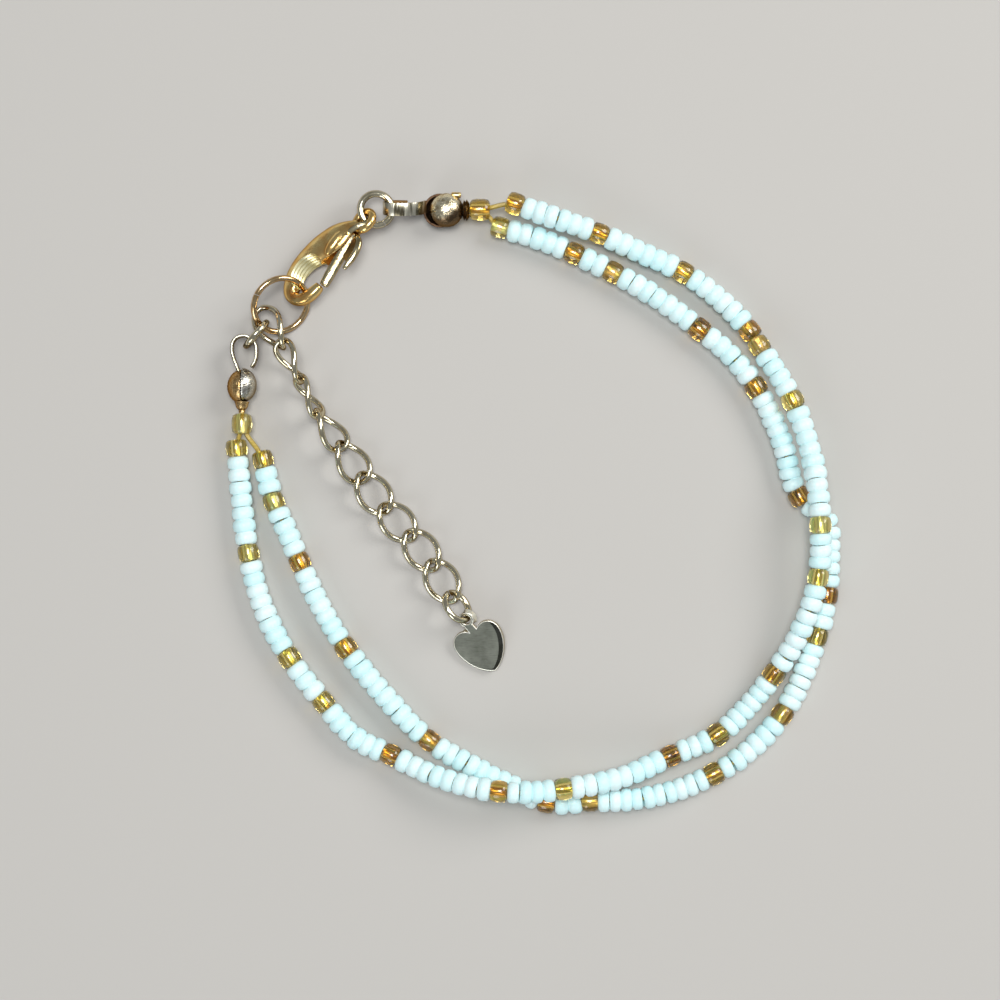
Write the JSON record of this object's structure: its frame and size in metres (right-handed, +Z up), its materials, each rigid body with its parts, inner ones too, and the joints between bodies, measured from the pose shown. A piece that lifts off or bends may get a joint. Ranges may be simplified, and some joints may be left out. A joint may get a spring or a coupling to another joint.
{
  "type": "bracelet",
  "caption": "Two-strand seed bead bracelet lying in a closed loop, with knot covers, a lobster clasp and an extension chain ending in a small heart.",
  "frame": {"origin": "middle of the outline, on the surface that the bracelet lies on", "axes": "+Z up from the surface; +Y towards the clasp's end of the strands; +X to the right, away from the extension chain"},
  "size_m": [0.0612, 0.062, 0.0051],
  "materials": {
    "white_glass": "opaque chalk white glass with a soft gloss",
    "amber_glass": "clear amber glass with a bright lining in the hole",
    "pale_gold": "polished pale gold plating",
    "clasp_gold": "polished gold plating"
  },
  "bodies": {
    "bracelet": {"strand_a": "white_glass", "strand_b": "white_glass", "end_bead_clasp": "amber_glass", "end_bead_ring": "amber_glass", "bead_tip_clasp": "pale_gold", "bead_tip_ring": "pale_gold", "clasp_jump_ring": "pale_gold", "fastening_ring": "pale_gold", "connector_ring": "pale_gold", "chain_link_1": "pale_gold", "chain_link_2": "pale_gold", "chain_link_3": "pale_gold", "chain_link_4": "pale_gold", "chain_link_5": "pale_gold", "chain_link_6": "pale_gold", "chain_link_7": "pale_gold", "chain_link_8": "pale_gold", "chain_link_9": "pale_gold", "drop_ring": "pale_gold", "heart_drop": "pale_gold", "clasp_body": "clasp_gold"},
    "lever": {"clasp_lever": "clasp_gold"}
  },
  "joints": [
    {"name": "lever_hinge", "type": "hinge", "parent": "bracelet", "child": "lever", "pos_m": [-0.01809, 0.02622, 0.00265], "axis": [0.4175, -0.3016, -0.8572], "range_deg": [0, 17], "stiffness_Nm_per_rad": 0.01, "springref_deg": -17.19}
  ]
}
